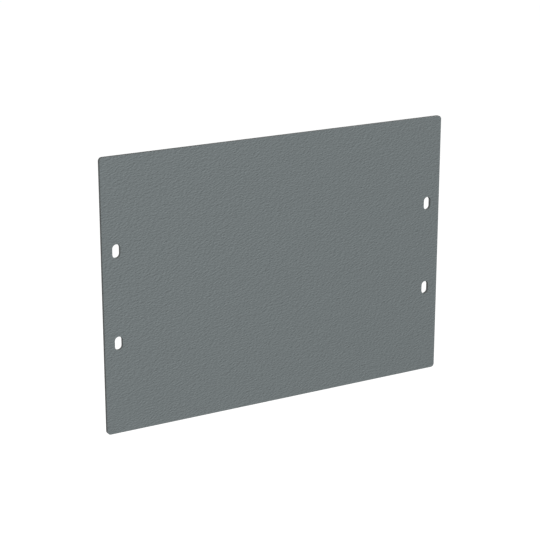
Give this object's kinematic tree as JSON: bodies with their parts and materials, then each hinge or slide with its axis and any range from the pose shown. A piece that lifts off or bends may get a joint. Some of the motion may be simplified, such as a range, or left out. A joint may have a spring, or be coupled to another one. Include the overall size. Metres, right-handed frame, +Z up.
{
  "type": "blanking panel",
  "caption": "Flat sheet-steel panel with rounded corners and upright fixing slots beside each side edge, screwed on to close an unused opening in a rack or cabinet.",
  "frame": {"origin": "centre of the back face, the flat side that seats on the frame round the opening", "axes": "+X to the right seen from the front, +Y from the front face to the back face, +Z up the panel as it is fixed"},
  "size_m": [0.21, 0.002, 0.15],
  "materials": {
    "powder_coat": "matte"
  },
  "bodies": {
    "root": {"blanking_panel": "powder_coat"}
  },
  "joints": []
}
